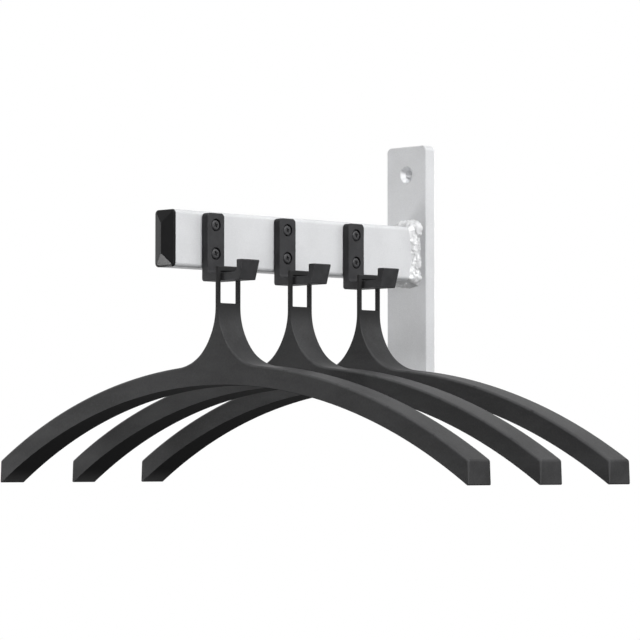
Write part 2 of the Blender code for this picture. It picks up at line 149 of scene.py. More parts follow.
class CoatRackSizes(bpy.types.PropertyGroup):
    """Sizes of the rack's details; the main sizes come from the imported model."""

    plate_corner: length("Plate corner", "Radius of the plate's corners", 0.004)
    plate_edge: length("Plate edge", "Radius of the plate's eased edges", 0.001)
    wall_hole: length("Wall hole", "Radius of the holes for wall screws", 0.00325)
    countersink: length("Countersink", "Radius of the holes' countersinks", 0.0063)
    wall_hole_inset: length("Wall hole inset", "From the plate's ends to the holes", 0.021)
    tube_corner: length("Tube corner", "Outer radius of the tube's corners", 0.003)
    tube_wall: length("Tube wall", "Thickness of the tube's wall", 0.002)
    weld_leg: length("Weld leg", "How far the weld reaches over the plate", 0.004816)
    weld_start: length("Weld start", "How far the weld reaches over the plate at its start", 0.00672)
    weld_end: length("Weld ends", "How far the bulk at the weld's start and stop goes along it", 0.010)
    weld_climb: share("Weld climb", "Reach of the weld along the tube, as a share of its leg", 1.2, 3.0)
    weld_lump: share("Weld lumps", "Swell of the weld's lumps, as a share of its reach", 0.24)
    weld_blob: share("Weld blobs", "Swell of the weld's small blobs, as a share of its reach", 0.09)
    cap_rim: length("Cap rim", "Height of the cap's rim", 0.0004)
    cap_shoulder: length("Cap shoulder", "Width of the cap's rounded shoulder", 0.0012)
    cap_shoulder_rise: length("Cap shoulder rise", "Height of the cap's rounded shoulder", 0.0011)
    cap_hip: length("Cap hips", "Radius of the edges between the cap's facets", 0.0006)
    cap_plug: length("Cap plug", "Length of the finned plug inside the tube", 0.014)
    hook_plate: length("Hook plate", "Thickness of the hook's upright", 0.006)
    hook_arm: length("Hook arm", "Thickness of the hook's arm", 0.0055)
    hook_recess: length("Hook recess", "From the hook's upright to its lip", 0.029)
    hook_corner: length("Hook corner", "Radius of the hook's top corners", 0.003)
    hook_heel: length("Hook heel", "Radius of the hook's lower back corner", 0.002)
    hook_bend: length("Hook bends", "Radius of the hook's inner corners", 0.0025)
    hook_edge: length("Hook edge", "Radius of the hook's eased edges", 0.0004)
    lip_height: length("Lip height", "Height of the hook's lip", 0.014)
    lip_foot: length("Lip foot", "Thickness of the lip at its foot", 0.0025)
    lip_tip: length("Lip tip", "Thickness of the lip at its tip", 0.0068)
    lip_corner: length("Lip corners", "Radius of the lip's corners", 0.0008)
    counterbore: length("Counterbore", "Radius of the recess round a screw's head", 0.0045)
    counterbore_depth: length("Counterbore depth", "Depth of the recess round a head", 0.0024)
    screw_hole: length("Screw hole", "Radius of the holes for the hook screws", 0.0023)
    screw_head: length("Screw head", "Radius of a screw's head", 0.0037)
    screw_height: length("Screw height", "Height of a screw's head", 0.0022)
    screw_crown: length("Screw crown", "Radius of the flat top of a head", 0.0024)
    screw_shank: length("Screw shank", "Radius of a screw's shank", 0.002)
    loop_thickness: length("Loop thickness", "Thickness of the hanger's loop", 0.003)
    loop_bar: length("Loop bars", "Width of the bars beside the loop's window", 0.0026)
    loop_window: length("Loop window", "Height of the loop's window", 0.0215)
    loop_corner: length("Loop corner", "Radius of the loop's top corners", 0.0012)
    hanger_drop: length("Hanger drop", "From the pivot to the crown of the underside", 0.080)
    arch_radius: length("Arch radius", "Radius of the hanger's underside", 0.436)
    arch_height: length("Arch height", "Height of the hanger's arms", 0.0145)
    neck_radius: length("Neck radius", "Radius of the flare from the loop to the arms", 0.042)
    tip_corner: length("Tip corner", "Radius of the upper corner at an arm's end", 0.0024)
    tip_foot: length("Tip foot", "Radius of the lower corner at an arm's end", 0.001)
    hanger_edge: length("Hanger edge", "Radius of the eased edges on top of the arms", 0.0018)
    under_edge: length("Under edge", "Radius of the eased edges under the arms", 0.0005)
    loop_edge: length("Loop edge", "Radius of the loop's eased edges", 0.0007)


class CoatRackFinishes(bpy.types.PropertyGroup):
    """Colours of the rack's finishes."""

    paint: colour("Silver paint", "Paint on the plate and the arm", (0.68, 0.687, 0.70))
    # The weld's colour is its tone on the crests, where light is painted; the valleys are painted darker
    # as shade.
    weld: colour("Painted weld", "Paint on the weld's crests", (0.93, 0.935, 0.945))
    cap: colour("Cap plastic", "Glossy plastic of the tube's cap", (0.014, 0.014, 0.0145))
    coating: colour("Black coating", "Coating on the hooks", (0.039, 0.039, 0.041))
    screw: colour("Black screws", "Blackened steel of the screws", (0.034, 0.034, 0.036))
    hanger: colour("Hanger plastic", "Matt plastic of the hangers", (0.048, 0.048, 0.049))


class CoatRackStage(bpy.types.PropertyGroup):
    """Camera, lamps and floor."""

    camera_place: FloatVectorProperty(name="Camera place", description="Where the camera stands",
                                      default=(1.6188, -1.7151, -0.1404), size=3, precision=4,
                                      subtype="TRANSLATION", unit="LENGTH")
    camera_turn: FloatProperty(name="Camera turn", description="Turn of the camera about the vertical",
                               default=math.radians(45.089), subtype="ANGLE", unit="ROTATION")
    camera_pitch: FloatProperty(name="Camera pitch", description="How far the camera looks up",
                                default=math.radians(2.628), subtype="ANGLE", unit="ROTATION")
    focal_pixels: FloatProperty(name="Focal length", description="Focal length in pixels of the picture",
                                default=3142.7, min=1.0, subtype="PIXEL")
    lamp_light: share("Lamp light", "Light of all the lamps, as a share of their levels", 1.0, 10.0)
    ambient: share("Ambient light", "Light from all round", 0.04, 10.0)
    floor: colour("Floor", "Pale floor under the rack", (0.80, 0.80, 0.80))
    floor_radius: length("Floor radius", "From the floor's middle to its edge", 12.0)
    floor_depth: length("Floor depth", "How far the floor is below the plate's centre", 1.5)


def limited(value):
    """Return a value kept between 0 and 1."""
    return min(1.0, max(0.0, value))


def arc(centre, radius, start, end, turn=FINE_TURN):
    """Return points on an arc between two angles in degrees, both ends included."""
    steps = max(2, math.ceil(abs(end - start) / turn))
    points = []
    for step in range(steps + 1):
        angle = math.radians(start + (end - start) * step / steps)
        points.append(Vector(centre) + radius * Vector((math.cos(angle), math.sin(angle))))
    return points


def circle(radius):
    """Return points on a circle about the origin."""
    angles = [math.tau * side / ROUND_SIDES for side in range(ROUND_SIDES)]
    return [radius * Vector((math.cos(angle), math.sin(angle))) for angle in angles]


def square_corners(points):
    """Return points as corners (x, z, radius) that are not rounded."""
    return [(x, z, 0.0) for x, z in points]


def rounded_outline(corners):
    """Return a closed outline from corners (x, z, radius), each rounded by an arc of its radius."""
    points = []
    for index, (x, z, radius) in enumerate(corners):
        corner = Vector((x, z))
        if radius == 0:
            points.append(corner)
            continue
        back = (Vector(corners[index - 1][:2]) - corner).normalized()
        ahead = (Vector(corners[(index + 1) % len(corners)][:2]) - corner).normalized()
        half = back.angle(ahead) / 2
        centre = corner + (back + ahead).normalized() * radius / math.sin(half)
        first = corner + back * radius / math.tan(half) - centre
        swing = math.degrees(math.pi - 2 * half)
        if back.cross(ahead) > 0:
            swing = -swing
        start = math.degrees(math.atan2(first.y, first.x))
        points += arc(centre, radius, start, start + swing)
    return points


def rectangle(width, height, radius):
    """Return a rectangle's outline about the origin, anticlockwise, with rounded corners."""
    x, z = width / 2, height / 2
    return rounded_outline([(x, -z, radius), (x, z, radius), (-x, z, radius), (-x, -z, radius)])


def per_point(outline, value):
    """Return a list with a value for each point of an outline; a list is returned as it is."""
    return value if isinstance(value, list) else [value] * len(outline)


def inset(outline, distance):
    """Return an anticlockwise outline moved inwards, by one distance or by a list of them."""
    moved = []
    for index, (point, gap) in enumerate(zip(outline, per_point(outline, distance))):
        back = (point - outline[index - 1]).normalized()
        ahead = (outline[(index + 1) % len(outline)] - point).normalized()
        inwards = Vector((-back.y - ahead.y, back.x + ahead.x))
        moved.append(point + inwards * gap / (1 + back.dot(ahead)))
    return moved


def evenly_spaced(outline, step):
    """Return points at about one step from each other along a closed outline."""
    points = []
    for start, end in zip(outline, outline[1:] + outline[:1]):
        count = max(1, round((end - start).length / step))
        points += [start.lerp(end, index / count) for index in range(count)]
    return points


def across_y(outline, y, centre):
    """Place an outline of x and z at a distance along Y."""
    return [Vector((x + centre[0], y, z + centre[1])) for x, z in outline]


def across_x(outline, x, centre):
    """Place an outline of y and z at a distance along X."""
    return [Vector((x, y + centre[0], z + centre[1])) for y, z in outline]


class Form:
    """Mesh of a piece while it is made from rows of vertices.

    Its edge layer marks eased edges, and on the weld the crests where light is painted; its bare layer
    marks bare metal.
    """

    def __init__(self):
        self.mesh = bmesh.new()
        self.edge = self.mesh.verts.layers.float.new("edge")
        self.bare = self.mesh.verts.layers.float.new("bare")

    def row(self, points, edge=0.0, bare=0.0):
        """Add a vertex at each point and return them."""
        row = []
        for point in points:
            vert = self.mesh.verts.new(point)
            vert[self.edge] = edge
            vert[self.bare] = bare
            row.append(vert)
        return row

    def skin(self, rows):
        """Join each closed row to the next with quads, and return the rows."""
        for near, far in zip(rows, rows[1:]):
            for index in range(len(near)):
                self.mesh.faces.new((near[index - 1], near[index], far[index], far[index - 1]))
        return rows

    def turned(self, profile, across, centre):
        """Skin a profile of radius, level and marks, turned about an axis, and return its rings."""
        rings = []
        for radius, level, *marks in profile:
            rings.append(self.row(across(circle(radius), level, centre), *marks))
        return self.skin(rings)

    def rim(self, rows):
        """Return the edges of rows that are skinned already."""
        edges = []
        for row in rows:
            edges += [self.mesh.edges.get((row[index - 1], row[index])) for index in range(len(row))]
        return edges

    def cover(self, *rows):
        """Fill the flat opening within the first row and round any others."""
        bmesh.ops.triangle_fill(self.mesh, use_beauty=True, edges=self.rim(rows))

    def pierce(self, x, rows):
        """Open the largest flat face across X at a place, so that it ends at rows of holes in it."""
        self.mesh.normal_update()
        flat = []
        for face in self.mesh.faces:
            facing = abs(face.normal.x) > 1 - NEAR
            if facing and abs(face.calc_center_median().x - x) < NEAR:
                flat.append(face)
        largest = max(flat, key=lambda face: face.calc_area())
        edges = list(largest.edges)
        bmesh.ops.delete(self.mesh, geom=[largest], context="FACES_ONLY")
        bmesh.ops.triangle_fill(self.mesh, use_beauty=True, edges=edges + self.rim(rows))

    def prism(self, outline, front, back, radius):
        """Skin an outline from front to back along Y, with both ends' edges rounded.

        One radius rounds the edges evenly, and a list gives a radius for each point.
        """
        radii = per_point(outline, radius)
        front_rows, back_rows = [], []
        for step in range(EDGE_STEPS + 1):
            angle = math.radians(90 * step / EDGE_STEPS)
            points = inset(outline, [part * (1 - math.sin(angle)) for part in radii])
            drops = [part * (1 - math.cos(angle)) for part in radii]
            for rows, level, inwards in ((front_rows, front, 1), (back_rows, back, -1)):
                row = [Vector((x, level + inwards * drop, z)) for (x, z), drop in zip(points, drops)]
                rows.append(self.row(row, math.sin(2 * angle)))
        back_rows.reverse()
        return self.skin(front_rows + back_rows)

    def ease(self, edges, radius, steps, worn=True):
        """Round edges, and mark the new faces' inner vertices as an eased edge."""
        eased = bmesh.ops.bevel(self.mesh, geom=edges, offset=radius, segments=steps, profile=0.5,
                                affect="EDGES", clamp_overlap=False)
        fresh = set(eased["faces"])
        for vert in eased["verts"]:
            if worn and all(face in fresh for face in vert.link_faces):
                vert[self.edge] = 1.0

    def sharp_edges(self):
        """Return the edges at which the surface turns by more than a facet of a round stretch does."""
        self.mesh.normal_update()
        limit = math.radians(SHARP_ANGLE)
        return [edge for edge in self.mesh.edges if edge.calc_face_angle(0.0) > limit]


def add_piece(name, form, finish, node, body="rack"):
    """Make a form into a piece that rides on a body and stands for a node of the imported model."""
    bmesh.ops.recalc_face_normals(form.mesh, faces=form.mesh.faces)
    mesh = bpy.data.meshes.new(name)
    form.mesh.to_mesh(mesh)
    form.mesh.free()
    mesh.materials.append(finish)
    mesh.shade_smooth()
    mesh.set_sharp_from_angle(angle=math.radians(SHARP_ANGLE))
    piece = bpy.data.objects.new(name, mesh)
    bpy.context.scene.collection.objects.link(piece)
    normals = piece.modifiers.new("even_normals", "WEIGHTED_NORMAL")
    normals.keep_sharp = True
    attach(piece, body)
    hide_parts(node)


def math_node(operation, swapped=False):
    """Return a method of Field that adds a Math node for the field and another value."""

    def method(self, other):
        first, second = (other, self) if swapped else (self, other)
        return self.nodes.add("Math", {"operation": operation}, {0: first, 1: second})

    return method


class Field:
    """A node's output; Python's operators on it add Math nodes."""

    def __init__(self, nodes, socket):
        self.nodes = nodes
        self.socket = socket

    __add__ = __radd__ = math_node("ADD")
    __mul__ = __rmul__ = math_node("MULTIPLY")
    __sub__ = math_node("SUBTRACT")
    __rsub__ = math_node("SUBTRACT", swapped=True)
    greatest = math_node("MAXIMUM")

    def between(self, low, high):
        """Return a soft step from 0 at low to 1 at high."""
        return self.nodes.add("MapRange", {"interpolation_type": "SMOOTHSTEP"},
                              {"Value": self, "From Min": low, "From Max": high})


class Nodes:
    """The node tree of a material or a world in the making."""

    # Sockets of a Mix node that mixes colours.
    MIX_FACTOR, MIX_FIRST, MIX_SECOND, MIX_RESULT = 0, 6, 7, 2

    def __init__(self, owner):
        owner.use_nodes = True
        self.owner = owner
        self.tree = owner.node_tree
        self.tree.nodes.clear()

    def add(self, kind, settings=None, sockets=None, output=0):
        """Add a node, set its settings first and then its sockets' values or links."""
        node = self.tree.nodes.new("ShaderNode" + kind)
        for name, value in (settings or {}).items():
            setattr(node, name, value)
        for key, value in (sockets or {}).items():
            socket = node.inputs[key]
            if isinstance(value, Field):
                self.tree.links.new(value.socket, socket)
            elif socket.type == "RGBA":
                socket.default_value = (*value, 1.0)
            else:
                socket.default_value = value
        return Field(self, node.outputs[output]) if len(node.outputs) else node

    def mix(self, first, second, factor):
        """Mix two colours."""
        return self.add("Mix", {"data_type": "RGBA"}, {
            self.MIX_FACTOR: factor, self.MIX_FIRST: first, self.MIX_SECOND: second,
        }, self.MIX_RESULT)

    def shades(self, tone, dark, light, factor, layers=()):
        """Mix a dark and a light shade of a tone, and lay further shades over them by their factors."""
        base = self.mix(shade_of(tone, dark), shade_of(tone, light), factor)
        for amount, cover in layers:
            base = self.mix(base, shade_of(tone, amount), cover)
        return base

    def place(self, stretch=(1.0, 1.0, 1.0)):
        """Return the place on the piece in metres, stretched along its axes."""
        place = self.add("TexCoord", output="Object")
        return self.add("VectorMath", {"operation": "MULTIPLY"}, {0: place, 1: stretch})

    def clouds(self, grain, detail=3.0, stretch=(1.0, 1.0, 1.0)):
        """Return a soft noise from 0 to 1 whose grains have a size in metres."""
        return self.add("TexNoise", None, {
            "Vector": self.place(stretch), "Scale": 1 / grain, "Detail": detail, "Roughness": 0.55,
        })

    def cells(self, grain, output="Distance"):
        """Return the distance from, or the random colour of, cells with a size in metres."""
        return self.add("TexVoronoi", None, {"Vector": self.place(), "Scale": 1 / grain}, output)

    def layer(self, name):
        """Return the value that a layer of the form has."""
        return self.add("Attribute", {"attribute_name": name}, output="Fac")

    def facing_down(self):
        """Return 1 on faces of the piece that face down and 0 elsewhere; the finishes paint shade with
        it.
        """
        normal = self.add("TexCoord", output="Normal")
        return self.add("SeparateXYZ", None, {0: normal}, "Z").between(-0.15, -0.6)

    def bump(self, height, distance):
        """Return a normal that a height from 0 to 1 bends."""
        return self.add("Bump", None, {"Height": height, "Distance": distance})

    def end(self, output, shader):
        """End the tree in a shader, and return the material or world."""
        self.add(output, None, {"Surface": shader})
        return self.owner

    def surface(self, sockets):
        """End the tree in a Principled BSDF, and return the material."""
        return self.end("OutputMaterial", self.add("BsdfPrincipled", None, sockets))


def new_finish(name):
    """Return the nodes of a new material."""
    return Nodes(bpy.data.materials.new(name))


def shade_of(tone, amount):
    """Return a colour made lighter or darker by an amount."""
    return tuple(min(1.0, part * amount) for part in tone)


def silver_paint(tone):
    """Satin paint with fine metal flake, a soft mottle, an orange-peel skin and rubbed edges."""
    nodes = new_finish("silver_finish")
    mottle = nodes.clouds(0.028, detail=4.0)
    flake = nodes.add("SeparateColor", None, {0: nodes.cells(0.00035, "Color")}, "Red")
    scuffs = nodes.clouds(0.0012, stretch=(1.0, 0.05, 1.0)).between(0.62, 0.75)
    peel = nodes.clouds(0.0016, detail=2.0)
    rubbed = nodes.layer("edge") * nodes.clouds(0.004).between(0.45, 0.7)
    bare = nodes.layer("bare")
    return nodes.surface({
        "Base Color": nodes.shades(tone, 0.955, 1.045, mottle.between(0.3, 0.7), (
            (1.14, flake.between(0.72, 0.95) * 0.5),
            (0.86, flake.between(0.28, 0.05) * 0.35),
            (0.93, scuffs * 0.3),
            (1.12, rubbed * 0.6),
            (1.2, bare),
        )),
        "Roughness": 0.40 + 0.08 * mottle + 0.05 * scuffs - 0.06 * rubbed - 0.15 * bare,
        "Metallic": 0.03 + 0.97 * bare,
        "Specular IOR Level": 0.3,
        "Normal": nodes.bump(peel + 0.25 * flake, 0.00004),
    })


def painted_weld(tone):
    """Thick paint over a weld: a painted highlight on the crests, and painted shade in the dull valleys
    and underneath.
    """
    nodes = new_finish("weld_finish")
    painted_crest_light = nodes.layer("edge")
    mottle = nodes.clouds(0.003, detail=4.0)
    grit = nodes.clouds(0.0005)
    return nodes.surface({
        # Painted highlight on the crests and painted shade in the valleys.
        "Base Color": nodes.shades(tone, 0.74, 1.0, (painted_crest_light + 0.5 * mottle - 0.25).between(0.1, 0.7), (
            (1.12, mottle.between(0.58, 0.75) * 0.5),
            # Painted shade under the weld.
            (0.6, nodes.facing_down()),
        )),
        "Roughness": 0.42 - 0.16 * painted_crest_light + 0.1 * grit,
        "Metallic": 0.05,
        "Normal": nodes.bump(mottle + 0.35 * grit, 0.00014),
    })


def cap_plastic(tone):
    """Glossy moulded plastic with faint swirls and hairline scratches."""
    nodes = new_finish("cap_finish")
    swirl = nodes.clouds(0.006)
    hairline = nodes.clouds(0.0004, detail=2.0, stretch=(1.0, 1.0, 0.06)).between(0.66, 0.74)
    rubbed = nodes.layer("edge") * swirl.between(0.35, 0.65)
    return nodes.surface({
        "Base Color": nodes.shades(tone, 0.85, 1.2, swirl, (
            (2.4, hairline * 0.35),
            (2.0, rubbed * 0.6),
        )),
        "Roughness": 0.1 + 0.08 * swirl + 0.12 * hairline,
        "Specular IOR Level": 0.075,
        "Normal": nodes.bump(nodes.clouds(0.0005, detail=2.0), 0.000012),
    })


def black_coating(tone):
    """Powder coating: a fine pebbled skin, faint mottle, and edges rubbed a little lighter."""
    nodes = new_finish("coating_finish")
    pebbles = nodes.cells(0.00055)
    grain = nodes.clouds(0.0004)
    mottle = nodes.clouds(0.009)
    rubbed = nodes.layer("edge") * nodes.clouds(0.0025).between(0.3, 0.62)
    return nodes.surface({
        "Base Color": nodes.shades(tone, 0.84, 1.16, mottle.between(0.3, 0.7), (
            (1.45, grain.between(0.56, 0.74) * 0.4),
            (1.9, rubbed * 0.7),
        )),
        "Roughness": 0.46 + 0.12 * mottle - 0.08 * rubbed,
        "Specular IOR Level": 0.1,
        "Normal": nodes.bump(0.6 * pebbles + 0.4 * grain, 0.00006),
    })


def black_screw(tone):
    """Blackened steel, a little worn on its edges and brushed by the driver."""
    nodes = new_finish("screw_finish")
    grain = nodes.clouds(0.0006)
    turned = nodes.clouds(0.0003, detail=2.0, stretch=(4.0, 1.0, 1.0))
    rubbed = nodes.layer("edge") * nodes.clouds(0.0015, detail=2.0).between(0.3, 0.6)
    return nodes.surface({
        "Base Color": nodes.shades(tone, 0.8, 1.25, grain, ((3.0, rubbed * 0.55),)),
        "Roughness": 0.40 + 0.14 * grain,
        "Metallic": 0.1 + 0.3 * rubbed,
        "Specular IOR Level": 0.25,
        "Normal": nodes.bump(turned, 0.00002),
    })


def hanger_plastic(tone):
    """Matt moulded plastic: spark-eroded grain, faint flow marks, light scuffs, and edges rubbed lighter
    with a painted highlight.

    Shade is painted on the slim loop and underneath, and light is painted on the underside near the arms'
    lowest ends.
    """
    nodes = new_finish("hanger_finish")
    tip_height = 0.012
    neck_foot, neck_top = HANGER_HIGH.z - 0.045, HANGER_HIGH.z - 0.024
    height = nodes.add("SeparateXYZ", None, {0: nodes.place()}, "Z")
    # Painted light on the undersides near the arms' lowest ends.
    painted_tip_light = height.between(HANGER_LOW.z + tip_height, HANGER_LOW.z)
    # Painted shade on the slim loop.
    loop = height.between(neck_foot, neck_top)
    # Painted shade on faces that face down, with less of it near the arms' lowest ends.
    under = nodes.facing_down() * (1 - 0.8 * painted_tip_light)
    grain = nodes.clouds(0.00045)
    speckle = nodes.clouds(0.0012)
    pits = nodes.cells(0.0009)
    flow = nodes.clouds(0.022, detail=4.0, stretch=(0.35, 1.0, 1.0))
    scuffs = nodes.clouds(0.0011, stretch=(0.06, 1.0, 1.0)).between(0.64, 0.78)
    # Edges lighter: partly rubbed by wear and partly a painted highlight, with less of it on the loop.
    rubbed = nodes.layer("edge") * nodes.clouds(0.006).between(0.15, 0.5) * (1 - 0.8 * loop)
    return nodes.surface({
        "Base Color": nodes.shades(tone, 0.8, 1.2, flow.between(0.3, 0.7), (
            (1.5, grain.between(0.58, 0.76) * 0.35),
            (1.6, speckle.between(0.5, 0.72) * 0.22),
            (0.55, speckle.between(0.5, 0.28) * 0.22),
            (1.35, scuffs * 0.3),
            (2.5, rubbed * 0.6),
            # Painted shade on the loop and underneath.
            (0.45, loop * 0.7),
            (0.4, under),
        )),
        "Roughness": 0.40 + 0.1 * flow - 0.06 * scuffs - 0.05 * rubbed + 0.6 * under,
        "Specular IOR Level": 0.043,
        "Normal": nodes.bump(0.5 * pits + 0.4 * grain + 0.15 * speckle, 0.00007),
    })


def wall_plate_form(sizes):
    """Flat bar with rounded corners, eased edges and two countersunk holes."""
    form = Form()
    front, back = PLATE_LOW.y, PLATE_HIGH.y
    outline = rectangle(PLATE_SIZE.x, PLATE_SIZE.z, sizes.plate_corner)
    rows = form.prism(outline, front, back, sizes.plate_edge)
    burr = sizes.plate_edge / 3
    sink_depth = sizes.countersink - sizes.wall_hole
    profile = [
        (sizes.countersink + burr, front, 0.0, 0.0),
        (sizes.countersink + burr / 4, front + burr / 3, 1.0, 0.0),
        (sizes.countersink - burr, front + burr * 1.3, 0.0, 1.0),
        (sizes.wall_hole + burr, front + sink_depth - burr, 0.0, 1.0),
        (sizes.wall_hole, front + sink_depth, 1.0, 0.5),
        (sizes.wall_hole, back - burr, 0.0, 0.0),
        (sizes.wall_hole + burr, back, 0.0, 0.0),
    ]
    hole_z = PLATE_SIZE.z / 2 - sizes.wall_hole_inset
    holes = [form.turned(profile, across_y, (0.0, z)) for z in (hole_z, -hole_z)]
    form.cover(rows[0], *[rings[0] for rings in holes])
    form.cover(rows[-1], *[rings[-1] for rings in holes])
    return form


def screw_axis(station, screw):
    """Return where a hook screw's axis is, as y and z."""
    low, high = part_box(SCREW_NODE % (station, screw))
    middle = (low + high) / 2
    return middle.y, middle.z


def arm_tube_form(sizes):
    """Rectangular tube with round corners, drilled in its near wall for the hook screws."""
    form = Form()
    centre = Vector((0.0, ARM_Z))
    wall = sizes.tube_wall
    cut_edge = wall / 8
    outer = [point + centre for point in rectangle(TUBE_SIZE.x, TUBE_SIZE.z, sizes.tube_corner)]
    bore = rectangle(TUBE_SIZE.x - 2 * wall, TUBE_SIZE.z - 2 * wall, sizes.tube_corner - wall)
    outside = form.prism(outer, TUBE_LOW.y, TUBE_HIGH.y, cut_edge)
    inside = form.skin([form.row(across_y(bore, y, centre)) for y in (TUBE_LOW.y, TUBE_HIGH.y)])
    form.cover(outside[0], inside[0])
    form.cover(outside[-1], inside[-1])
    outer_x = TUBE_HIGH.x
    inner_x = outer_x - wall
    profile = [(sizes.screw_hole, outer_x), (sizes.screw_hole, inner_x)]
    holes = []
    for station in STATIONS:
        for screw in SCREWS:
            holes.append(form.turned(profile, across_x, screw_axis(station, screw)))
    form.pierce(outer_x, [rings[0] for rings in holes])
    form.pierce(inner_x, [rings[1] for rings in holes])
    return form


def two_noises(place, coarse, fine, fine_share):
    """Return a coarse noise at a place, with a share of a finer one."""
    return noise.noise(place / coarse) + fine_share * noise.noise(place / fine)


def weld_reach(angle):
    """Return how far a fillet weld reaches from its root, as a share of its leg.

    The angle goes from the tube, at 0, to the plate, at a right angle. The face is nearly straight, with
    slightly hollow toes.
    """
    hollowness = 0.1
    both = math.cos(angle) + math.sin(angle)
    straight = 1 / both
    hollow = both - math.sqrt(max(0.0, both ** 2 - 1))
    return (1 - hollowness) * straight + hollowness * hollow


def weld_bulk(point, sizes):
    """Return how much bulkier the weld is at a point of the tube's outline, from 0 to 1.

    The run starts at the tube's upper right corner and stops at its lower right one, with less bulk.
    """
    stop_share = 0.5
    start = Vector((TUBE_SIZE.x, TUBE_SIZE.z)) / 2
    stop = Vector((TUBE_SIZE.x, -TUBE_SIZE.z)) / 2
    at_start = 1 - (point - start).length / sizes.weld_end
    at_stop = 1 - (point - stop).length / sizes.weld_end
    return max(0.0, at_start, stop_share * at_stop)


def weld_bead_form(sizes):
    """Lumpy fillet weld in the corner between the tube and the plate.

    Its edge layer is high where light is painted on: on lumps and blobs, and at the weld's ends; it is
    low in the valleys, where shade is painted.
    """
    form = Form()
    fit = 0.00003
    foot = PLATE_LOW.y - fit
    outline = rectangle(TUBE_SIZE.x + 2 * fit, TUBE_SIZE.z + 2 * fit, sizes.tube_corner + fit)
    path = evenly_spaced(outline, WELD_STEP)
    outwards = [(point - moved).normalized() for point, moved in zip(path, inset(path, WELD_STEP))]
    bulks = [weld_bulk(point, sizes) for point in path]
    roots = [Vector((point.x, foot, point.y + ARM_Z)) for point in path]
    rows = []
    for step in range(WELD_STEPS + 1):
        angle = math.radians(90 * step / WELD_STEPS)
        up, out = math.cos(angle), math.sin(angle)
        row = []
        for root, outward, bulk in zip(roots, outwards, bulks):
            leg = sizes.weld_leg + (sizes.weld_start - sizes.weld_leg) * bulk
            lean = Vector((outward.x * out, -up * sizes.weld_climb, outward.y * out))
            probe = root + lean * leg
            lump = two_noises(probe, *WELD_LUMPS)
            blob = two_noises(probe, *WELD_BLOBS)
            swell = sizes.weld_lump * lump + sizes.weld_blob * blob
            reach = leg * weld_reach(angle) * (1 + swell)
            # Painted light on lumps, blobs and the bulky ends; low values give painted shade in the
            # valleys.
            painted_crest_light = limited(0.3 + 0.5 * lump + 0.4 * blob + 0.6 * bulk)
            row += form.row([root + lean * reach], painted_crest_light)
        rows.append(row)
    form.skin(rows + [form.row(roots), rows[0]])
    return form


def end_cap_form(sizes):
    """Hipped cap with a rounded shoulder and softened hips, and a finned plug behind it."""
    form = Form()
    centre = (0.0, ARM_Z)
    rim = rectangle(TUBE_SIZE.x, TUBE_SIZE.z, sizes.tube_corner)
    rim_back = TUBE_LOW.y - FIT_GAP
    rim_front = rim_back - sizes.cap_rim
    rim_overhang = 0.00005
    face_foot = rim_front - sizes.cap_shoulder_rise
    rise = face_foot - CAP_FRONT
    face_width = TUBE_SIZE.x - 2 * sizes.cap_shoulder
    face_height = TUBE_SIZE.z - 2 * sizes.cap_shoulder
    face_corner = sizes.tube_corner - sizes.cap_shoulder
    softness = 0.04
    most = math.sqrt(1 + softness ** 2) - softness
    ridge = 0.0002
    least_side = 0.00005
    run = face_width / 2 - ridge
    rows = []
    for step in range(HIP_STEPS, 0, -1):
        gap = run * step / HIP_STEPS
        slope = 1 - gap / run
        height = rise * (1 - (math.sqrt(slope ** 2 + softness ** 2) - softness) / most)
        corner = max(sizes.cap_hip, face_corner - gap)
        corner = min(corner, face_width / 2 - gap - least_side)
        outline = rectangle(face_width - 2 * gap, face_height - 2 * gap, corner)
        rows.append(form.row(across_y(outline, face_foot - height, centre)))
    for step in range(SHOULDER_STEPS, -1, -1):
        angle = math.radians(90 * step / SHOULDER_STEPS)
        outline = inset(rim, sizes.cap_shoulder * (1 - math.cos(angle)))
        y = rim_front - sizes.cap_shoulder_rise * math.sin(angle)
        rows.append(form.row(across_y(outline, y, centre), math.sin(2 * angle)))
    fins = 3
    fin_corner = 0.001
    fin_depth = 0.0008
    fin_half = 0.00075
    fit = 2 * (sizes.tube_wall + FIT_GAP)
    fin = rectangle(TUBE_SIZE.x - fit, TUBE_SIZE.z - fit, fin_corner)
    core = inset(fin, fin_depth)
    levels = [(rim, rim_back + rim_overhang), (core, rim_back)]
    for index in range(fins):
        middle = TUBE_LOW.y + sizes.cap_plug * (index + 0.5) / fins
        levels += [(core, middle - fin_half), (fin, middle - fin_half / 2)]
        levels += [(fin, middle + fin_half / 2), (core, middle + fin_half)]
    levels.append((core, TUBE_LOW.y + sizes.cap_plug))
    rows += [form.row(across_y(outline, y, centre)) for outline, y in levels]
    form.skin(rows)
    form.cover(rows[0])
    form.cover(rows[-1])
    return form


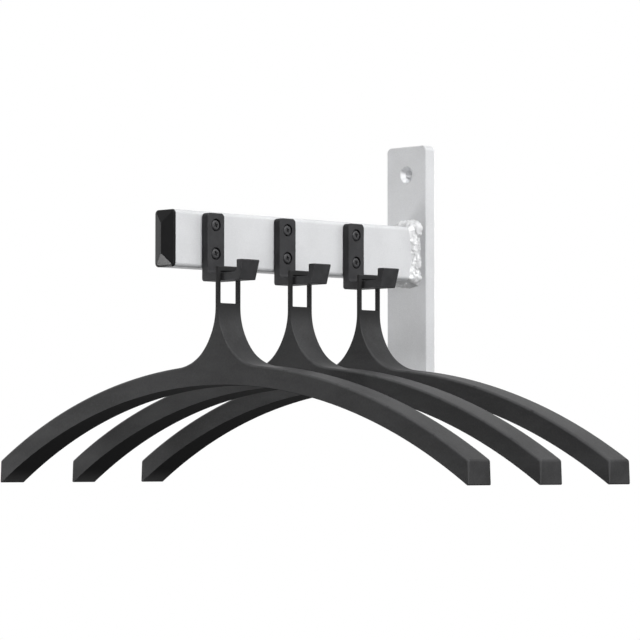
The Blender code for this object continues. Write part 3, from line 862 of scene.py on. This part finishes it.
def hook_form(sizes, station):
    """J hook with a flared lip, round top corners, eased edges and two counterbores."""
    form = Form()
    low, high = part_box("hook_" + station)
    upright = sizes.hook_plate
    lip = upright + sizes.hook_recess
    height = high.z - low.z
    outline = rounded_outline([
        (0.0, 0.0, sizes.hook_heel),
        (lip + sizes.lip_foot, 0.0, sizes.lip_corner),
        (lip + sizes.lip_tip, sizes.lip_height, sizes.lip_corner),
        (lip, sizes.lip_height, sizes.lip_corner),
        (lip, sizes.hook_arm, sizes.hook_bend),
        (upright, sizes.hook_arm, sizes.hook_bend),
        (upright, height, 0.0),
        (0.0, height, 0.0),
    ])
    ends = [form.row(across_y(outline, y, (low.x, low.z))) for y in (low.y, high.y)]
    form.skin(ends)
    for row in ends:
        form.mesh.faces.new(row)
    bmesh.ops.recalc_face_normals(form.mesh, faces=form.mesh.faces)
    tops = []
    for edge in form.mesh.edges:
        start, end = (vert.co for vert in edge.verts)
        at_top = min(start.z, end.z) > high.z - NEAR
        if at_top and abs(start.y - end.y) < NEAR:
            tops.append(edge)
    form.ease(tops, sizes.hook_corner, HOOK_CORNER_STEPS, worn=False)
    form.ease(form.sharp_edges(), sizes.hook_edge, HOOK_EDGE_STEPS)
    face = low.x + upright
    floor = face - sizes.counterbore_depth
    rim = 0.0002
    profile = [
        (sizes.counterbore + rim, face, 0.0),
        (sizes.counterbore + rim / 4, face - rim / 4, 1.0),
        (sizes.counterbore, face - rim, 0.0),
        (sizes.counterbore, floor, 0.0),
        (sizes.screw_hole, floor, 0.0),
        (sizes.screw_hole, low.x, 0.0),
    ]
    holes = [form.turned(profile, across_x, screw_axis(station, screw)) for screw in SCREWS]
    form.pierce(face, [rings[0] for rings in holes])
    form.pierce(low.x, [rings[-1] for rings in holes])
    return form


def screw_form(sizes, station, screw):
    """Pan-head screw along X with a cross recess, its shank plain and its tip tapered."""
    form = Form()
    low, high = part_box(SCREW_NODE % (station, screw))
    axis = screw_axis(station, screw)
    head, crown, shank = sizes.screw_head, sizes.screw_crown, sizes.screw_shank
    below_box = 0.0001
    head_side = 0.0006
    head_edge = 0.00015
    tip, taper = 0.0008, 0.002
    top = high.x - below_box
    seat = high.x - sizes.screw_height
    shoulder = seat + head_side
    profile = [(crown, top, 0.0)]
    for step in range(1, HEAD_STEPS + 1):
        angle = math.radians(90 * step / HEAD_STEPS)
        radius = crown + (head - crown) * math.sin(angle)
        profile.append((radius, shoulder + (top - shoulder) * math.cos(angle), math.sin(2 * angle)))
    profile += [(head, seat + head_edge), (head - head_edge, seat), (shank, seat)]
    profile += [(shank, low.x + taper), (tip, low.x)]
    rings = form.turned(profile, across_x, axis)
    form.cover(rings[-1])
    cross_turn = 20
    root, reach, half = 0.00062, 0.0018, 0.00045
    wing = [Vector((root, -root)), Vector((reach, -half)), Vector((reach, half))]
    cross = []
    for quarter in range(4):
        turn = Matrix.Rotation(math.radians(90 * quarter + cross_turn), 2)
        cross += [turn @ point for point in wing]
    # Share of the cross's size, depth and edge mark, from the recess's rim to its floor.
    levels = ((1.06, 0.0, 0.0), (0.98, 0.00012, 1.0), (0.92, 0.0004, 0.0), (0.5, 0.0013, 0.0))
    recess = []
    for size, depth, edge in levels:
        recess.append(form.row(across_x([point * size for point in cross], top - depth, axis), edge))
    form.skin(recess)
    form.cover(recess[-1])
    form.cover(rings[0], recess[0])
    return form


def arch_centre(sizes):
    """Return the centre of a hanger's arch about its pivot."""
    return Vector((0.0, -sizes.hanger_drop - sizes.arch_radius))


def hanger_outline(sizes):
    """Front view of a hanger about its pivot, anticlockwise."""
    half = sizes.loop_thickness / 2
    half_span = HANGER_SIZE.x / 2
    pivot_top = HANGER_HIGH.z - PIVOTS["front_hanger"].z
    inner = sizes.arch_radius
    outer = inner + sizes.arch_height
    centre = arch_centre(sizes)
    reach = outer + sizes.neck_radius
    neck_x = half + sizes.neck_radius
    neck_centre = centre + Vector((neck_x, math.sqrt(reach ** 2 - neck_x ** 2)))
    flare_end = math.degrees(math.acos(neck_x / reach))
    outer_end = math.degrees(math.acos(half_span / outer))
    inner_end = math.degrees(math.acos(half_span / inner))
    flare = arc(neck_centre, sizes.neck_radius, 180, 180 + flare_end, FLARE_TURN)
    top = arc(centre, outer, flare_end, outer_end, ARCH_TURN)[1:-1]
    under = arc(centre, inner, inner_end, 180 - inner_end, ARCH_TURN)[1:-1]
    tip_top = centre.y + outer * math.sin(math.radians(outer_end))
    tip_foot = centre.y + inner * math.sin(math.radians(inner_end))
    side = [(half, pivot_top, sizes.loop_corner)] + square_corners(flare + top)
    side += [(half_span, tip_top, sizes.tip_corner), (half_span, tip_foot, sizes.tip_foot)]
    mirrored = [(-x, z, radius) for x, z, radius in reversed(side)]
    corners = side + square_corners(under) + mirrored
    corners.reverse()
    return rounded_outline(corners)


def hanger_edges(sizes, outline):
    """Return the radius of the eased edge at each point of a hanger's outline about its pivot.

    The edges are round on top of the arms, finer on the slim loop, and nearly sharp underneath.
    """
    growth = 0.1
    edges = []
    for point in outline:
        rise = ((point - arch_centre(sizes)).length - sizes.arch_radius) / sizes.arch_height
        top = max(sizes.loop_edge, min(sizes.hanger_edge, abs(point.x) * growth))
        edges.append(sizes.under_edge + (top - sizes.under_edge) * limited(rise))
    return edges


def hanger_form(sizes, station):
    """One-piece hanger: a windowed loop, a flared neck and two arched arms, all edges eased."""
    form = Form()
    pivot = PIVOTS[station + "_hanger"]
    low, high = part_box("hanger_" + station)
    outline = hanger_outline(sizes)
    placed = [point + pivot.xz for point in outline]
    rows = form.prism(placed, low.y, high.y, hanger_edges(sizes, outline))
    form.cover(rows[0])
    form.cover(rows[-1])
    half = sizes.loop_thickness / 2
    half_width = HANGER_SIZE.y / 2 - sizes.loop_bar
    edge, corner = 0.00025, 0.0006
    rings = []
    for step in range(WINDOW_STEPS + 1):
        angle = math.radians(180 * step / WINDOW_STEPS)
        x = half * math.cos(angle)
        depth = max(0.0, abs(x) - (half - edge))
        flare = edge - math.sqrt(edge ** 2 - depth ** 2)
        side = half_width + flare
        ceiling = -half * math.sin(angle)
        floor = -half - sizes.loop_window - flare
        places = ((side, floor), (side, ceiling), (-side, ceiling), (-side, floor))
        window = rounded_outline([(y, z, corner) for y, z in places])
        # Mark of the window's eased rims, which the hanger's finish turns into wear and a painted
        # highlight.
        worn = limited(2 * flare / edge)
        rings.append(form.row(across_x(window, pivot.x + x, pivot.yz), worn))
    form.skin(rings)
    form.pierce(pivot.x + half, [rings[0]])
    form.pierce(pivot.x - half, [rings[-1]])
    return form


class PlateOperator(bpy.types.Operator):
    """Add the wall plate"""

    bl_idname = "coat_rack.wall_plate"
    bl_label = "Wall Plate"

    def execute(self, context):
        finish = silver_paint(context.scene.coat_rack_finishes.paint)
        form = wall_plate_form(context.scene.coat_rack_sizes)
        add_piece("plate_bar", form, finish, "wall_plate")
        return {"FINISHED"}


class TubeOperator(bpy.types.Operator):
    """Add the arm's tube, in the plate's paint"""

    bl_idname = "coat_rack.arm_tube"
    bl_label = "Arm Tube"

    def execute(self, context):
        finish = bpy.data.materials["silver_finish"]
        form = arm_tube_form(context.scene.coat_rack_sizes)
        add_piece("arm_box_tube", form, finish, "arm_tube")
        return {"FINISHED"}


class WeldOperator(bpy.types.Operator):
    """Add the weld round the tube's foot"""

    bl_idname = "coat_rack.weld_bead"
    bl_label = "Weld Bead"

    def execute(self, context):
        finish = painted_weld(context.scene.coat_rack_finishes.weld)
        form = weld_bead_form(context.scene.coat_rack_sizes)
        add_piece("weld_run", form, finish, "weld_bead")
        return {"FINISHED"}


class CapOperator(bpy.types.Operator):
    """Add the cap on the tube's free end"""

    bl_idname = "coat_rack.end_cap"
    bl_label = "End Cap"

    def execute(self, context):
        finish = cap_plastic(context.scene.coat_rack_finishes.cap)
        form = end_cap_form(context.scene.coat_rack_sizes)
        add_piece("tube_cap", form, finish, "end_cap")
        return {"FINISHED"}


class HooksOperator(bpy.types.Operator):
    """Add the J hooks"""

    bl_idname = "coat_rack.hooks"
    bl_label = "Hooks"

    def execute(self, context):
        finish = black_coating(context.scene.coat_rack_finishes.coating)
        for station in STATIONS:
            form = hook_form(context.scene.coat_rack_sizes, station)
            add_piece(station + "_j_hook", form, finish, "hook_" + station)
        return {"FINISHED"}


class ScrewsOperator(bpy.types.Operator):
    """Add the screws that hold the hooks"""

    bl_idname = "coat_rack.screws"
    bl_label = "Hook Screws"

    def execute(self, context):
        finish = black_screw(context.scene.coat_rack_finishes.screw)
        for station in STATIONS:
            for screw in SCREWS:
                form = screw_form(context.scene.coat_rack_sizes, station, screw)
                name = "%s_%s_screw" % (station, screw)
                add_piece(name, form, finish, SCREW_NODE % (station, screw))
        return {"FINISHED"}


class HangersOperator(bpy.types.Operator):
    """Add the moulded hangers, each on its own swinging body"""

    bl_idname = "coat_rack.hangers"
    bl_label = "Hangers"

    def execute(self, context):
        finish = hanger_plastic(context.scene.coat_rack_finishes.hanger)
        for station in STATIONS:
            form = hanger_form(context.scene.coat_rack_sizes, station)
            add_piece(station + "_moulded_hanger", form, finish, "hanger_" + station,
                      station + "_hanger")
        return {"FINISHED"}


def add_lamp(name, place, aim, side, level):
    """Add a square lamp, with power for a level at which a white surface that faces it is 1."""
    lamp = bpy.data.lights.new(name, "AREA")
    lamp.shape = "SQUARE"
    lamp.size = side
    way = Vector(aim) - Vector(place)
    lamp.energy = level * (math.pi * way.length) ** 2
    holder = bpy.data.objects.new(name, lamp)
    holder.location = place
    holder.rotation_euler = way.to_track_quat("-Z", "Y").to_euler()
    holder.visible_camera = False
    bpy.context.scene.collection.objects.link(holder)


def shown_background(nodes):
    """Return 1 for rays that show the background itself, and 0 for rays that carry its light."""
    camera = nodes.add("LightPath", output="Is Camera Ray")
    glossy = nodes.add("LightPath", output="Is Glossy Ray")
    through = nodes.add("LightPath", output="Is Transmission Ray")
    return camera.greatest(glossy).greatest(through)


def add_world(scene, ambient):
    """White to look at, and a plain soft light from all round."""
    nodes = Nodes(bpy.data.worlds.new("studio"))
    strength = ambient + (1 - ambient) * shown_background(nodes)
    background = nodes.add("Background", None, {"Color": (1.0, 1.0, 1.0), "Strength": strength})
    scene.world = nodes.end("OutputWorld", background)


def add_floor(scene, stage):
    """Wide pale floor that keeps the rack's shadow and fades into the background."""
    nodes = new_finish("pale_floor")
    fade_start, fade_end = 3.0, 8.0
    near_glow = 0.6
    sides = 96
    distance = nodes.add("VectorMath", {"operation": "LENGTH"}, {0: nodes.place()}, "Value")
    fade = distance.between(fade_start, fade_end)
    tone = nodes.shades(stage.floor, 1.0, 1.05, nodes.clouds(0.4))
    paint = nodes.add("BsdfDiffuse", None, {"Color": tone})
    glow = nodes.add("Emission", None, {"Color": (1.0, 1.0, 1.0), "Strength": 1.0})
    factor = shown_background(nodes) * (near_glow + (1 - near_glow) * fade)
    shader = nodes.add("MixShader", None, {0: factor, 1: paint, 2: glow})
    mesh = bpy.data.meshes.new("pale_floor")
    mesh.materials.append(nodes.end("OutputMaterial", shader))
    disc = bmesh.new()
    bmesh.ops.create_circle(disc, cap_ends=True, segments=sides, radius=stage.floor_radius)
    disc.to_mesh(mesh)
    disc.free()
    floor = bpy.data.objects.new("pale_floor", mesh)
    floor.location.z = -stage.floor_depth
    scene.collection.objects.link(floor)


def add_camera(scene, stage):
    """Camera at the picture's viewing angle."""
    camera = bpy.data.cameras.new("camera")
    camera.sensor_width = SENSOR_WIDTH
    camera.lens = stage.focal_pixels * SENSOR_WIDTH / PICTURE_SIDE
    camera.clip_end = 100.0
    holder = bpy.data.objects.new("camera", camera)
    holder.location = stage.camera_place
    holder.rotation_euler = (math.radians(90) + stage.camera_pitch, 0.0, stage.camera_turn)
    scene.collection.objects.link(holder)
    scene.camera = holder


class StageOperator(bpy.types.Operator):
    """Add the floor, the lamps, the background and the camera"""

    bl_idname = "coat_rack.stage"
    bl_label = "Stage"

    def execute(self, context):
        scene = context.scene
        stage = scene.coat_rack_stage
        aim = (CAD_LOW + CAD_HIGH) / 2
        scene.view_settings.view_transform = "Standard"
        add_world(scene, stage.ambient)
        add_floor(scene, stage)
        for name, (place, side, level) in LAMPS.items():
            add_lamp(name, aim + Vector(place), aim, side, level * stage.lamp_light)
        add_camera(scene, stage)
        return {"FINISHED"}


class CoatRackPanel(bpy.types.Panel):
    """Steps of the coat rack, in order"""

    bl_idname = "VIEW3D_PT_coat_rack"
    bl_label = "Wall Coat Rack"
    bl_space_type = "VIEW_3D"
    bl_region_type = "UI"
    bl_category = "Coat Rack"

    def draw(self, context):
        for operator in OPERATORS:
            self.layout.operator(operator.bl_idname)
        for name, group in GROUPS.items():
            settings = getattr(context.scene, name)
            box = self.layout.box()
            for setting in group.__annotations__:
                box.prop(settings, setting)


OPERATORS = (PlateOperator, TubeOperator, WeldOperator, CapOperator, HooksOperator, ScrewsOperator,
             HangersOperator, StageOperator)
GROUPS = {
    "coat_rack_sizes": CoatRackSizes,
    "coat_rack_finishes": CoatRackFinishes,
    "coat_rack_stage": CoatRackStage,
}
CLASSES = (*GROUPS.values(), *OPERATORS, CoatRackPanel)


def register():
    """Register the classes and hang the settings on the scene."""
    for rack_class in CLASSES:
        bpy.utils.register_class(rack_class)
    for name, group in GROUPS.items():
        setattr(bpy.types.Scene, name, PointerProperty(type=group))


def unregister():
    """Take the settings off the scene and unregister the classes."""
    for name in GROUPS:
        delattr(bpy.types.Scene, name)
    for rack_class in reversed(CLASSES):
        bpy.utils.unregister_class(rack_class)


def main():
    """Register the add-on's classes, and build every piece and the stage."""
    register()
    bpy.ops.coat_rack.wall_plate()
    bpy.ops.coat_rack.arm_tube()
    bpy.ops.coat_rack.weld_bead()
    bpy.ops.coat_rack.end_cap()
    bpy.ops.coat_rack.hooks()
    bpy.ops.coat_rack.screws()
    bpy.ops.coat_rack.hangers()
    bpy.ops.coat_rack.stage()


if __name__ == "__main__":
    main()
